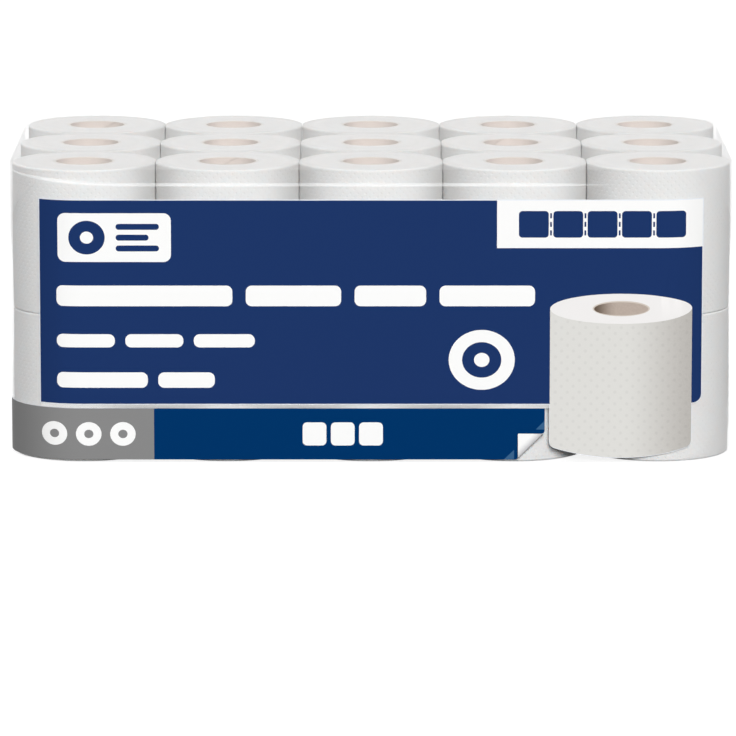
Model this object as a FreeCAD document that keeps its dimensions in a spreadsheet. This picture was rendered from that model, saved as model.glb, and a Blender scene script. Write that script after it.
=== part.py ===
import FreeCAD
import Part
import Sketcher
import math
import os

# Film-wrapped pack of toilet rolls: five columns by three rows, two layers high.
# The rolls stand on end, pressed a little flat where they touch, each wound on its own
# board core. One skin of clear film wraps them all. It is folded like an envelope over
# both ends and sealed there with crimped ribs, and thin welds just under the upper rim
# close it along the front and the back. A printed label and a narrow band under it are
# stuck round the front of the film.
# X runs along the pack, Y from front to back, Z up, with the origin under its middle.

COLUMNS = 5
ROW_NAMES = ("front", "middle", "back")
LAYER_NAMES = ("lower", "upper")
ROWS = len(ROW_NAMES)
LAYERS = len(LAYER_NAMES)
CRIMP_RIBS = 4

SIZES = (
    ("roll_diameter", 99.0, "a wound roll across, where nothing presses it"),
    ("side_press", 1.0, "how far each neighbour flattens a roll's side"),
    ("sheet_width", 99.0, "width of the paper, and so a roll's height"),
    ("core_diameter", 42.0, "outside of the board core"),
    ("core_wall", 1.5, "wall of the board core"),
    ("fit_gap", 0.1, "clearance between pieces that lie against each other"),
    ("film_thickness", 0.3, "the film's wall"),
    ("seal_overlap", 15.0, "how far the two end flaps lie over each other"),
    ("crimp_margin", 4.0, "plain film at each end of a crimped rib"),
    ("rib_height", 1.2, "one crimped rib of the end seal, up and down"),
    ("rib_spacing", 3.2, "from one crimped rib to the next"),
    ("rib_relief", 0.3, "how far a crimped rib stands out"),
    ("weld_drop", 9.0, "the long welds under the upper rim"),
    ("weld_height", 1.0, "a long weld, up and down"),
    ("weld_relief", 0.3, "how far a long weld stands out"),
    ("label_thickness", 0.25, "the printed label and band"),
    ("label_inset", 21.0, "from the pack's ends in to the label, seen from the front"),
    ("label_drop", 20.0, "from the pack's top down to the label"),
    ("label_corner_radius", 6.0, "the label's one round corner"),
    ("label_spacing", 2.5, "strip of bare film between label and band"),
    ("tongue_width", 96.0, "the roll-shaped tongue of the label"),
    ("tongue_inset", 7.0, "from the label's right edge in to the tongue"),
    ("tongue_lift", 3.0, "the tongue's lowest point over the ground"),
    ("tongue_foot_radius", 150.0, "the tongue's shallow lower curve"),
    ("tongue_heel_radius", 5.0, "the tongue's tight curves beside it"),
    ("tongue_gap", 3.0, "strip of bare film between band and tongue"),
    ("band_height", 35.0, "the band, up and down"),
    ("band_lift", 2.0, "the band's lower edge over the ground"),
    ("curl_length", 14.5, "paper in the band's curled corner, square to its fold"),
    ("curl_radius", 1.0, "inside of the curled corner's bend"),
)

# What follows from the sizes above, as expressions on the sheet's cells.
ROLL_RADIUS = "(sizes.roll_diameter / 2)"
PITCH = "(sizes.roll_diameter - 2 * sizes.side_press)"
CORE_RADIUS = "(sizes.core_diameter / 2)"
CORNER_X = f"({COLUMNS - 1} / 2 * {PITCH})"
CORNER_Y = f"({ROWS - 1} / 2 * {PITCH})"
FILM_REACH = f"({ROLL_RADIUS} + sizes.fit_gap + sizes.film_thickness)"
STACK_HEIGHT = f"({LAYERS} * sizes.sheet_width + sizes.fit_gap)"
PACK_HEIGHT = f"({STACK_HEIGHT} + 2 * sizes.film_thickness)"
LABEL_BACK = f"({FILM_REACH} + sizes.fit_gap)"
BAND_BACK = f"({LABEL_BACK} + sizes.film_thickness)"
LABEL_EDGE = f"({CORNER_X} + {FILM_REACH} - sizes.label_inset)"
LABEL_TOP = f"({PACK_HEIGHT} - sizes.label_drop)"
LABEL_BOTTOM = "(sizes.band_lift + sizes.band_height + sizes.label_spacing)"
TONGUE_RIGHT = f"({LABEL_EDGE} - sizes.tongue_inset)"
TONGUE_LEFT = f"({TONGUE_RIGHT} - sizes.tongue_width)"
BAND_END = f"({TONGUE_LEFT} - sizes.tongue_gap)"
CURL_STANDOFF = "(2 * (sizes.curl_radius + sizes.label_thickness))"
CURL_BEND_PAPER = "(pi * (sizes.curl_radius + sizes.label_thickness / 2))"
CURL_FLAT = f"(sizes.curl_length - {CURL_BEND_PAPER})"
CURL_CUT = "(sizes.curl_length * sqrt(2))"

doc = FreeCAD.newDocument("toilet_roll_pack")
sheet = doc.addObject("Spreadsheet::Sheet", "sizes")
for line, (alias, value, meaning) in enumerate(SIZES, start=1):
    sheet.set(f"A{line}", meaning)
    sheet.set(f"B{line}", str(value))
    sheet.setAlias(f"B{line}", alias)
doc.recompute()


def number(expression):
    """The present value of an expression on the sheet, in millimetres."""
    value = sheet.evalExpression(expression)
    return float(getattr(value, "Value", value))


def bind(item, **expressions):
    """Ties an object's properties to expressions; x, y and z are its place."""
    for name, expression in expressions.items():
        path = f"Placement.Base.{name}" if name in ("x", "y", "z") else name
        item.setExpression(path, expression)
    return item


def primitive(kind, name, **expressions):
    return bind(doc.addObject(f"Part::{kind}", name), **expressions)


def boolean(kind, name, base, tool):
    result = doc.addObject(f"Part::{kind}", name)
    result.Base = base
    result.Tool = tool
    return result


def new_body(name):
    return doc.addObject("PartDesign::Body", name)


def sketch_on(body, plane_role, name, offset="0"):
    """A sketch on one of the body's own planes, moved along its normal by offset."""
    sketch = body.newObject("Sketcher::SketchObject", name)
    plane = next(f for f in body.Origin.OriginFeatures if f.Role == plane_role)
    sketch.AttachmentSupport = [(plane, "")]
    sketch.MapMode = "FlatFace"
    sketch.setExpression("AttachmentOffset.Base.z", offset)
    return sketch


def pad(body, sketch, length, midplane=False, reverse=False):
    feature = body.newObject("PartDesign::Pad", sketch.Name + "_pad")
    feature.Profile = sketch
    feature.setExpression("Length", length)
    feature.Midplane = midplane
    feature.Reversed = reverse
    body.Tip = feature
    return feature


def fix_point(sketch, curve, end, x, y):
    """Holds one point of a curve at expressions x and y from the sketch's origin."""
    for kind, expression in (("DistanceX", x), ("DistanceY", y)):
        constraint = Sketcher.Constraint(kind, curve, end, number(expression))
        index = sketch.addConstraint(constraint)
        sketch.setExpression(f"Constraints[{index}]", expression)


def fix_radius(sketch, curve, radius):
    constraint = Sketcher.Constraint("Radius", curve, number(radius))
    index = sketch.addConstraint(constraint)
    sketch.setExpression(f"Constraints[{index}]", radius)


def point(x, y):
    return FreeCAD.Vector(number(x), number(y), 0)


def line_between(start, end):
    return Part.LineSegment(start, end)


def arc_about(centre, radius, start_angle, end_angle):
    """An arc drawn anticlockwise, with its angles in degrees."""
    circle = Part.Circle(centre, FreeCAD.Vector(0, 0, 1), radius)
    return Part.ArcOfCircle(circle, math.radians(start_angle), math.radians(end_angle))


def polygon(sketch, corners):
    """A closed outline of straight lines whose corners are pairs of expressions."""
    points = [point(x, y) for x, y in corners]
    for i, corner in enumerate(corners):
        line = sketch.addGeometry(line_between(points[i], points[(i + 1) % len(points)]))
        fix_point(sketch, line, 1, *corner)
    for i in range(len(corners)):
        meets = Sketcher.Constraint("Coincident", i, 2, (i + 1) % len(corners), 1)
        sketch.addConstraint(meets)


def rounded_prism(name, reach, height, lift="0"):
    """A prism round the whole group of rolls, reach outside the corner rolls' axes."""
    body = new_body(name)
    sketch = sketch_on(body, "XY_Plane", name + "_plan", lift)
    half_x = f"({CORNER_X} + {reach})"
    half_y = f"({CORNER_Y} + {reach})"
    sides = (
        ((f"-{CORNER_X}", f"-{half_y}"), (CORNER_X, f"-{half_y}")),
        ((half_x, f"-{CORNER_Y}"), (half_x, CORNER_Y)),
        ((CORNER_X, half_y), (f"-{CORNER_X}", half_y)),
        ((f"-{half_x}", CORNER_Y), (f"-{half_x}", f"-{CORNER_Y}")),
    )
    centres = (
        (CORNER_X, f"-{CORNER_Y}"),
        (CORNER_X, CORNER_Y),
        (f"-{CORNER_X}", CORNER_Y),
        (f"-{CORNER_X}", f"-{CORNER_Y}"),
    )
    for i in range(4):
        start, end = sides[i]
        sketch.addGeometry(line_between(point(*start), point(*end)))
        turn = 90 * i
        sketch.addGeometry(arc_about(point(*centres[i]), number(reach), turn - 90, turn))
    for i in range(4):
        side, corner = 2 * i, 2 * i + 1
        next_side = (2 * i + 2) % 8
        sketch.addConstraint(Sketcher.Constraint("Tangent", side, 2, corner, 1))
        sketch.addConstraint(Sketcher.Constraint("Tangent", corner, 2, next_side, 1))
        fix_point(sketch, corner, 3, *centres[i])
        fix_radius(sketch, corner, reach)
    pad(body, sketch, height)
    return body


def roll_place(column, row, layer):
    """Where a roll's foot stands, as expressions."""
    x = f"{column - (COLUMNS - 1) / 2} * {PITCH}"
    y = f"{row - (ROWS - 1) / 2} * {PITCH}"
    z = f"sizes.film_thickness + {layer} * sizes.sheet_width"
    return {"x": x, "y": y, "z": z}


def pressed_span(position, count):
    """Start and length of the space between a roll's neighbours along one axis."""
    pressed, free = f"({PITCH} / 2)", ROLL_RADIUS
    before = pressed if position > 0 else free
    after = pressed if position < count - 1 else free
    return f"-{before}", f"{before} + {after}"


def make_roll(column, row, layer):
    """One wound roll: a drum of paper, flat where neighbours press, with its bore."""
    name = f"roll_{ROW_NAMES[row]}_{column + 1}_{LAYER_NAMES[layer]}"
    wound = primitive(
        "Cylinder", name + "_wound", Radius=ROLL_RADIUS, Height="sizes.sheet_width"
    )
    left, length = pressed_span(column, COLUMNS)
    front, depth = pressed_span(row, ROWS)
    space = primitive(
        "Box",
        name + "_space",
        Length=length,
        Width=depth,
        Height="sizes.sheet_width",
        x=left,
        y=front,
    )
    pressed = boolean("Common", name + "_pressed", wound, space)
    bore = primitive(
        "Cylinder", name + "_bore", Radius=CORE_RADIUS, Height="sizes.sheet_width"
    )
    roll = boolean("Cut", name, pressed, bore)
    bind(roll, **roll_place(column, row, layer))
    return roll


def make_core(column, row, layer):
    """The board tube that a roll is wound on."""
    name = f"core_{ROW_NAMES[row]}_{column + 1}_{LAYER_NAMES[layer]}"
    length = "sizes.sheet_width - 2 * sizes.fit_gap"
    outside = f"{CORE_RADIUS} - sizes.fit_gap"
    inside = f"{CORE_RADIUS} - sizes.core_wall"
    tube = boolean(
        "Cut",
        name,
        primitive("Cylinder", name + "_outside", Radius=outside, Height=length),
        primitive("Cylinder", name + "_inside", Radius=inside, Height=length),
    )
    place = roll_place(column, row, layer)
    place["z"] += " + sizes.fit_gap"
    return bind(tube, **place)


def make_core_pair(column, row):
    """The two cores that stand over each other, kept together in one file."""
    pair = doc.addObject("Part::Compound", f"cores_{ROW_NAMES[row]}_{column + 1}")
    pair.Links = [make_core(column, row, layer) for layer in range(LAYERS)]
    return pair


def through_prism(name, outline, reach):
    """An outline seen from the ends, carried right through the pack along X."""
    body = new_body(name)
    sketch = sketch_on(body, "YZ_Plane", name + "_outline")
    polygon(sketch, outline)
    pad(body, sketch, f"2 * ({CORNER_X} + {reach})", midplane=True)
    return body


def make_end_flaps(name, folds_down, reach):
    """The same flap on both ends, its sides creased at 45 degrees from the corners."""
    drop = f"({PACK_HEIGHT} / 2 + sizes.seal_overlap / 2)"
    wide = f"({CORNER_Y} + {FILM_REACH})"
    narrow = f"({wide} - {drop})"
    root, tip = "0", drop
    if folds_down:
        root, tip = PACK_HEIGHT, f"{PACK_HEIGHT} - {drop}"
    outline = ((wide, root), (narrow, tip), (f"-{narrow}", tip), (f"-{wide}", root))
    flap = through_prism(name + "_side", outline, reach)
    skin = rounded_prism(name + "_skin", reach, PACK_HEIGHT)
    return boolean("Common", name, skin, flap)


def make_crimps(reach):
    """The ribbed seal where the upper flaps lie over the lower ones, on both ends."""
    seal_drop = f"({PACK_HEIGHT} / 2 + sizes.seal_overlap / 2)"
    half_rib = f"({CORNER_Y} + {FILM_REACH} - {seal_drop} - sizes.crimp_margin)"
    first = f"({PACK_HEIGHT} / 2 - {CRIMP_RIBS - 1} / 2 * sizes.rib_spacing)"
    low = f"({first} - sizes.rib_height / 2)"
    high = f"({first} + sizes.rib_height / 2)"
    outline = ((f"-{half_rib}", low), (half_rib, low), (half_rib, high), (f"-{half_rib}", high))
    body = through_prism("crimp_rib", outline, f"{reach} + sizes.rib_relief")
    doc.recompute()
    rib = body.Tip
    ribs = body.newObject("PartDesign::LinearPattern", "crimp_ribs")
    ribs.Originals = [rib]
    ribs.Direction = (rib.Profile[0], ["V_Axis"])
    ribs.setExpression("Length", f"{CRIMP_RIBS - 1} * sizes.rib_spacing")
    ribs.Occurrences = CRIMP_RIBS
    body.Tip = ribs
    return body


def make_long_welds():
    """The thin welds that join the film along the front and the back, round to the ends."""
    reach = f"({FILM_REACH} + sizes.weld_relief)"
    low = f"({PACK_HEIGHT} - sizes.weld_drop - sizes.weld_height / 2)"
    ring = rounded_prism("weld_ring", reach, "sizes.weld_height", low)
    ends = primitive(
        "Box",
        "weld_ends",
        Length=f"2 * ({CORNER_X} + {reach})",
        Width=f"2 * {CORNER_Y}",
        Height="sizes.weld_height",
        x=f"-({CORNER_X} + {reach})",
        y=f"-{CORNER_Y}",
        z=low,
    )
    return boolean("Cut", "long_welds", ring, ends)


def make_film():
    """The wrap: a taut skin round all the rolls, with its folds, seals and welds."""
    lower_layer = f"({FILM_REACH} + sizes.film_thickness)"
    upper_layer = f"({FILM_REACH} + 2 * sizes.film_thickness)"
    closed = doc.addObject("Part::MultiFuse", "film_outside")
    closed.Shapes = [
        rounded_prism("film_skin", FILM_REACH, PACK_HEIGHT),
        make_end_flaps("lower_flaps", False, lower_layer),
        make_end_flaps("upper_flaps", True, upper_layer),
        make_crimps(upper_layer),
        make_long_welds(),
    ]
    reach = f"({ROLL_RADIUS} + sizes.fit_gap)"
    room = rounded_prism("film_inside", reach, STACK_HEIGHT, "sizes.film_thickness")
    return boolean("Cut", "film_wrap", closed, room)


def printed_sheet(name, back, outline):
    """A sheet as thick as the label, bent round the film, cut to an outline in front."""
    front = f"({back} + sizes.label_thickness)"
    body = new_body(name + "_outline")
    sketch = sketch_on(body, "XZ_Plane", name + "_outline_sketch", CORNER_Y)
    outline(sketch)
    pad(body, sketch, front)
    outer = rounded_prism(name + "_outer", front, PACK_HEIGHT)
    inner = rounded_prism(name + "_inner", back, PACK_HEIGHT)
    bent = boolean("Cut", name + "_bent", outer, inner)
    return boolean("Common", name, bent, body)


def label_outline(sketch):
    """The label seen from the front: a field with one round corner, and a roll's shape
    hanging from its lower edge. The tongue's foot is a shallow arc between two tight
    ones, and all three are tangent."""
    edge, top, bottom = number(LABEL_EDGE), number(LABEL_TOP), number(LABEL_BOTTOM)
    left, right = number(TONGUE_LEFT), number(TONGUE_RIGHT)
    corner = number("sizes.label_corner_radius")
    foot = number("sizes.tongue_foot_radius")
    heel = number("sizes.tongue_heel_radius")
    middle, half = (left + right) / 2, (right - left) / 2
    foot_centre = number("sizes.tongue_lift") + foot
    heel_centre = foot_centre - math.sqrt((foot - heel) ** 2 - (half - heel) ** 2)
    lean = math.degrees(math.asin((half - heel) / (foot - heel)))
    at = FreeCAD.Vector
    curves = (
        line_between(at(-edge, bottom), at(-edge, top)),
        line_between(at(-edge, top), at(edge, top)),
        line_between(at(edge, top), at(edge, bottom + corner)),
        arc_about(at(edge - corner, bottom + corner), corner, -90, 0),
        line_between(at(edge - corner, bottom), at(right, bottom)),
        line_between(at(right, bottom), at(right, heel_centre)),
        arc_about(at(right - heel, heel_centre), heel, lean - 90, 0),
        arc_about(at(middle, foot_centre), foot, -90 - lean, lean - 90),
        arc_about(at(left + heel, heel_centre), heel, 180, 270 - lean),
        line_between(at(left, heel_centre), at(left, bottom)),
        line_between(at(left, bottom), at(-edge, bottom)),
    )
    for curve in curves:
        sketch.addGeometry(curve)
    (left_side, top_side, right_side, corner_arc, right_foot, tongue_right) = range(6)
    (heel_right, foot_arc, heel_left, tongue_left, bottom_side) = range(6, 11)
    joins = (
        ("Coincident", left_side, 2, top_side, 1),
        ("Coincident", top_side, 2, right_side, 1),
        ("Tangent", right_side, 2, corner_arc, 2),
        ("Tangent", corner_arc, 1, right_foot, 1),
        ("Coincident", right_foot, 2, tongue_right, 1),
        ("Tangent", tongue_right, 2, heel_right, 2),
        ("Tangent", heel_right, 1, foot_arc, 2),
        ("Tangent", foot_arc, 1, heel_left, 2),
        ("Tangent", heel_left, 1, tongue_left, 1),
        ("Coincident", tongue_left, 2, bottom_side, 1),
        ("Coincident", bottom_side, 2, left_side, 1),
    )
    for join in joins:
        sketch.addConstraint(Sketcher.Constraint(*join))
    for upright in (right_side, tongue_right, tongue_left):
        sketch.addConstraint(Sketcher.Constraint("Vertical", upright))
    sketch.addConstraint(Sketcher.Constraint("Horizontal", right_foot))
    fix_point(sketch, left_side, 1, f"-{LABEL_EDGE}", LABEL_BOTTOM)
    fix_point(sketch, left_side, 2, f"-{LABEL_EDGE}", LABEL_TOP)
    fix_point(sketch, right_side, 1, LABEL_EDGE, LABEL_TOP)
    fix_point(sketch, tongue_right, 1, TONGUE_RIGHT, LABEL_BOTTOM)
    fix_point(sketch, tongue_left, 2, TONGUE_LEFT, LABEL_BOTTOM)
    fix_radius(sketch, corner_arc, "sizes.label_corner_radius")
    fix_radius(sketch, heel_right, "sizes.tongue_heel_radius")
    fix_radius(sketch, heel_left, "sizes.tongue_heel_radius")
    fix_radius(sketch, foot_arc, "sizes.tongue_foot_radius")
    index = sketch.addConstraint(Sketcher.Constraint("DistanceY", foot_arc, 3, foot_centre))
    sketch.setExpression(f"Constraints[{index}]", "sizes.tongue_lift + sizes.tongue_foot_radius")


def band_outline(sketch):
    """The band seen from the front, less the corner that has curled up."""
    left = f"-({CORNER_X} + {BAND_BACK} + sizes.label_thickness)"
    low = "sizes.band_lift"
    high = f"({low} + sizes.band_height)"
    right = BAND_END
    polygon(
        sketch,
        (
            (left, low),
            (f"{right} - {CURL_CUT}", low),
            (right, f"{low} + {CURL_CUT}"),
            (right, high),
            (left, high),
        ),
    )


def place_on_fold(item):
    """Puts a piece drawn about the fold where the band's corner starts to curl. Its own
    X lies along the fold, Y in the band towards its middle, and Z out to the front."""
    upright = FreeCAD.Rotation(FreeCAD.Vector(1, 0, 0), 90)
    slanting = FreeCAD.Rotation(FreeCAD.Vector(0, 0, 1), 45)
    item.Placement = FreeCAD.Placement(FreeCAD.Vector(), upright.multiply(slanting))
    return bind(
        item,
        x=f"{BAND_END} - {CURL_CUT} / 2",
        y=f"-({CORNER_Y} + {BAND_BACK})",
        z=f"sizes.band_lift + {CURL_CUT} / 2",
    )


def curl_bend():
    """The half turn of paper at the fold, tapered as the corner narrows."""
    turn = new_body("curl_turn")
    sketch = sketch_on(turn, "YZ_Plane", "curl_turn_section")
    inner, outer = "sizes.curl_radius", "(sizes.curl_radius + sizes.label_thickness)"
    for radius in (inner, outer):
        sketch.addGeometry(arc_about(point("0", outer), number(radius), 90, 270))
    for x, y in (("0", "0"), ("0", CURL_STANDOFF)):
        step = "sizes.label_thickness" if y == "0" else "-sizes.label_thickness"
        sketch.addGeometry(line_between(point(x, y), point(x, f"{y} + {step}")))
    for arc, radius in enumerate((inner, outer)):
        fix_point(sketch, arc, 3, "0", outer)
        fix_radius(sketch, arc, radius)
    inner_arc, outer_arc, low_edge, high_edge = range(4)
    joins = (
        (outer_arc, 2, low_edge, 1),
        (inner_arc, 2, low_edge, 2),
        (outer_arc, 1, high_edge, 1),
        (inner_arc, 1, high_edge, 2),
    )
    for join in joins:
        sketch.addConstraint(Sketcher.Constraint("Coincident", *join))
    for edge in (low_edge, high_edge):
        sketch.addConstraint(Sketcher.Constraint("Vertical", edge))
        sketch.addConstraint(Sketcher.Constraint("PointOnObject", edge, 1, -2))
    pad(turn, sketch, "2 * sizes.curl_length", midplane=True)
    taper = new_body("curl_taper")
    side = sketch_on(taper, "XZ_Plane", "curl_taper_outline")
    polygon(
        side,
        (
            ("-sizes.curl_length", "0"),
            ("sizes.curl_length", "0"),
            (CURL_FLAT, CURL_STANDOFF),
            (f"-{CURL_FLAT}", CURL_STANDOFF),
        ),
    )
    pad(taper, side, f"2 * {CURL_STANDOFF}", midplane=True)
    return place_on_fold(boolean("Common", "curl_bend", turn, taper))


def curl_flap():
    """The tip of the corner, lying back over the band's face."""
    flap = new_body("curl_flap")
    back_of_tip = f"{CURL_STANDOFF} - sizes.label_thickness"
    sketch = sketch_on(flap, "XY_Plane", "curl_flap_outline", back_of_tip)
    polygon(sketch, ((f"-{CURL_FLAT}", "0"), (CURL_FLAT, "0"), ("0", CURL_FLAT)))
    pad(flap, sketch, "sizes.label_thickness")
    return place_on_fold(flap)


def make_band():
    """The narrow band under the label, with its lower right corner curled up. It runs
    over the film's lower flap at the left corner, so it lies one film further out."""
    band = doc.addObject("Part::MultiFuse", "lower_band")
    flat = printed_sheet("band_flat", BAND_BACK, band_outline)
    band.Shapes = [flat, curl_bend(), curl_flap()]
    return band


pieces = []
for row in range(ROWS):
    for column in range(COLUMNS):
        pieces += [make_roll(column, row, layer) for layer in range(LAYERS)]
        pieces.append(make_core_pair(column, row))
pieces.append(make_film())
pieces.append(printed_sheet("front_label", LABEL_BACK, label_outline))
pieces.append(make_band())
doc.recompute()

for item in doc.Objects:
    if {"Invalid", "Error"} & set(item.State):
        raise SystemExit(f"{item.Name} was not built: {item.State}")
for piece in pieces:
    if piece.Shape.isNull() or not piece.Shape.isValid():
        raise SystemExit(f"{piece.Name} has no valid shape")

os.makedirs("parts", exist_ok=True)
for piece in pieces:
    piece.Label = piece.Name
    piece.Shape.exportStep(os.path.join("parts", piece.Label + ".step"))
    print(piece.Label, len(piece.Shape.Solids), round(piece.Shape.Volume))
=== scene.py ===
import math
import random

import bpy
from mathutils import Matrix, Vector, noise
from mathutils.geometry import delaunay_2d_cdt


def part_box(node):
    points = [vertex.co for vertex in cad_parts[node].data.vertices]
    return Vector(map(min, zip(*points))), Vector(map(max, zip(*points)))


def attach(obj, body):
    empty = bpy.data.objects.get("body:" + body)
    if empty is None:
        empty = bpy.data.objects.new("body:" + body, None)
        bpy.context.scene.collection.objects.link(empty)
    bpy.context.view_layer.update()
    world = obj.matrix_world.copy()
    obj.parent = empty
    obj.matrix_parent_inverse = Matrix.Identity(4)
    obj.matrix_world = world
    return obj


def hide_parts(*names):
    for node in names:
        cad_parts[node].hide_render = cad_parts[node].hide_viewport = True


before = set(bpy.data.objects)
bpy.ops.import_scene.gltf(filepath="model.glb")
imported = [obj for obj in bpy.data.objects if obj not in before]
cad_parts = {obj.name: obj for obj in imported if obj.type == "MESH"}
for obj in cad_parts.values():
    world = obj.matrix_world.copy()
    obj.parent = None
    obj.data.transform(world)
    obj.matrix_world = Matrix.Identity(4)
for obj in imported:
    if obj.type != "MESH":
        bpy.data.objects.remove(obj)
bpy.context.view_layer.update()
mm = 0.001

# Board cores. Each is a tube glued up from grey-brown board, wound in a spiral, so a seam
# runs round its wall. The lower and the upper core of a stack stand one over the other,
# sawn to the length of their rolls.
rows = ("front", "middle", "back")
columns = range(1, 6)
core_wall = 1.8 * mm
core_rim = 0.25 * mm
core_points_around = 72
core_wall_steps = 9
core_joint_half = 0.1 * mm
core_seam_pitch = 62 * mm
core_seam_half_share = 0.012
core_bore_wobble = 0.25 * mm
board_tone = (0.77, 0.69, 0.64)
board_shadow_tone = (0.64, 0.555, 0.50)
board_cloud_tone = (0.72, 0.635, 0.585)
board_seam_tone = (0.3, 0.24, 0.2)
board_edge_tone = (0.86, 0.83, 0.80)
board_edge_shadow_tone = (0.76, 0.72, 0.68)


class Finish:
    """A material while it is wired up, with its shader and short ways to add to it."""

    def __init__(self, name, **shader_values):
        self.material = bpy.data.materials.new(name)
        self.material.use_nodes = True
        self.tree = self.material.node_tree
        self.shader = self.tree.nodes["Principled BSDF"]
        for socket, value in shader_values.items():
            self.set(self.shader, socket.replace("_", " "), value)

    def set(self, node, socket, value):
        if isinstance(value, bpy.types.NodeSocket):
            self.tree.links.new(value, node.inputs[socket])
        elif isinstance(value, tuple) and len(value) == 3 and node.inputs[socket].type == "RGBA":
            node.inputs[socket].default_value = (*value, 1)
        else:
            node.inputs[socket].default_value = value

    def add(self, kind, *values, out=0, **settings):
        node = self.tree.nodes.new("ShaderNode" + kind)
        for setting, value in settings.items():
            setattr(node, setting, value)
        for socket, value in enumerate(values):
            if value is not None:
                self.set(node, socket, value)
        return node.outputs[out]

    def maths(self, operation, *values):
        return self.add("Math", *values, operation=operation)

    def blend(self, amount, first, second, kind="MIX"):
        """A colour between two colours."""
        node = self.tree.nodes.new("ShaderNodeMix")
        node.data_type = "RGBA"
        node.blend_type = kind
        self.set(node, 0, amount)
        self.set(node, 6, first)
        self.set(node, 7, second)
        return node.outputs[2]

    def grain(self, place, stretch, scale, detail=4.0):
        """Noise from 0 to 1 in a place that is stretched by three factors first."""
        stretched = self.add("VectorMath", place, stretch, operation="MULTIPLY")
        return self.add("TexNoise", stretched, None, scale, detail)

    def relief(self, height, depth, strength=1.0):
        bump = self.tree.nodes.new("ShaderNodeBump")
        self.set(bump, "Strength", strength)
        self.set(bump, "Distance", depth)
        self.set(bump, "Height", height)
        self.set(self.shader, "Normal", bump.outputs[0])

    def object_place(self):
        return self.add("TexCoord", out=3)

    def lattice(self, across, up, pitch):
        """Dots in slanting rows: 1 in the middle of a dot and 0 between the rows."""
        waves = []
        for way in ("ADD", "SUBTRACT"):
            slant = self.maths(way, across, up)
            waves.append(self.maths("SINE", self.maths("MULTIPLY", slant, math.pi / pitch)))
        return self.maths("ABSOLUTE", self.maths("MULTIPLY", *waves))


def make_board():
    board = Finish("core_board", Roughness=0.9)
    place = board.object_place()
    x, y, z = (board.add("SeparateXYZ", place, out=i) for i in range(3))
    turn = board.maths("DIVIDE", board.maths("ARCTAN2", y, x), 2 * math.pi)
    wound = board.maths("ADD", turn, board.maths("DIVIDE", z, core_seam_pitch))
    across_strip = board.maths("FRACT", wound)
    off_seam = board.maths("ABSOLUTE", board.maths("SUBTRACT", across_strip, 0.5))
    seam = board.maths("LESS_THAN", off_seam, core_seam_half_share)
    fibres = board.grain(place, (1, 1, 3), 420)
    clouds = board.grain(place, (1, 1, 1), 60, 2)
    tone = board.blend(board.maths("MULTIPLY", fibres, 0.8), board_tone, board_shadow_tone)
    tone = board.blend(board.maths("MULTIPLY", clouds, 0.35), tone, board_cloud_tone)
    tone = board.blend(board.maths("MULTIPLY", seam, 0.25), tone, board_seam_tone)
    board.set(board.shader, "Base Color", tone)
    board.relief(board.maths("SUBTRACT", fibres, seam), 0.15 * mm, 0.6)
    return board.material


def new_mesh(name, points, faces, materials=()):
    mesh = bpy.data.meshes.new(name)
    mesh.from_pydata(points, [], faces)
    for material in materials:
        mesh.materials.append(material)
    mesh.update()
    return mesh


def ring_faces(rings, start=0):
    """Faces that join rings of points one to the next, and the last to the first."""
    around = len(rings[0])
    faces = []
    for i in range(len(rings)):
        here, there = start + i * around, start + (i + 1) % len(rings) * around
        for j in range(around):
            k = (j + 1) % around
            faces.append((here + j, here + k, there + k, there + j))
    return faces


def add_piece(mesh, place=(0, 0, 0)):
    piece = bpy.data.objects.new(mesh.name, mesh)
    piece.location = place
    bpy.context.collection.objects.link(piece)
    return piece


def smooth(mesh, corner_angle=40):
    mesh.shade_smooth()
    mesh.set_sharp_from_angle(angle=math.radians(corner_angle))


def stack_axis(row, column):
    """Where the middle of a stack of two rolls stands."""
    low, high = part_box(f"cores_{row}_{column}")
    return (low.x + high.x) / 2, (low.y + high.y) / 2


def core_rings(low, high, radius, dice):
    """The rings of one tube, from its foot up the outside and down the inside."""
    squashed_way = dice.uniform(0, math.pi)
    rim = core_rim
    profile = [(0, low + rim), (0, high - rim), (rim, high), (core_wall - rim, high)]
    for i in range(core_wall_steps + 1):
        profile.append((core_wall, high - rim - (high - low - 2 * rim) * i / core_wall_steps))
    profile += [(core_wall - rim, low), (rim, low)]
    rings = []
    for inset, z in profile:
        ring = []
        for i in range(core_points_around):
            angle = 2 * math.pi * i / core_points_around
            wobble = core_bore_wobble * math.cos(2 * angle + squashed_way) * (inset > rim)
            reach = radius - inset - max(wobble, 0)
            ring.append((reach * math.cos(angle), reach * math.sin(angle), z))
        rings.append(ring)
    return rings


def make_board_edge():
    """The sawn edge of the board, pale with loose paper fibre."""
    edge = Finish("core_edge", Roughness=0.95)
    fibres = edge.grain(edge.object_place(), (1, 1, 1), 900)
    edge.set(edge.shader, "Base Color", edge.blend(fibres, board_edge_tone, board_edge_shadow_tone))
    edge.relief(fibres, 0.15 * mm, 0.6)
    return edge.material


board = make_board()
board_edge = make_board_edge()
for row in rows:
    for column in columns:
        dice = random.Random(f"core {row} {column}")
        low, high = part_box(f"cores_{row}_{column}")
        middle = (low.z + high.z) / 2
        radius = (high.x - low.x) / 2
        points, faces = [], []
        for foot, head in ((low.z, middle - core_joint_half), (middle + core_joint_half, high.z)):
            rings = core_rings(foot, head, radius, dice)
            faces += ring_faces(rings, len(points))
            points += [point for ring in rings for point in ring]
        both = new_mesh(f"cores_{row}_{column}_board", points, faces, (board, board_edge))
        for face in both.polygons:
            face.material_index = int(abs(face.normal.z) > 0.4)
        smooth(both)
        pair = add_piece(both, (*stack_axis(row, column), 0))
        pair.rotation_euler.z = dice.uniform(0, 2 * math.pi)
        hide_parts(f"cores_{row}_{column}")
        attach(pair, "root")

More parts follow.
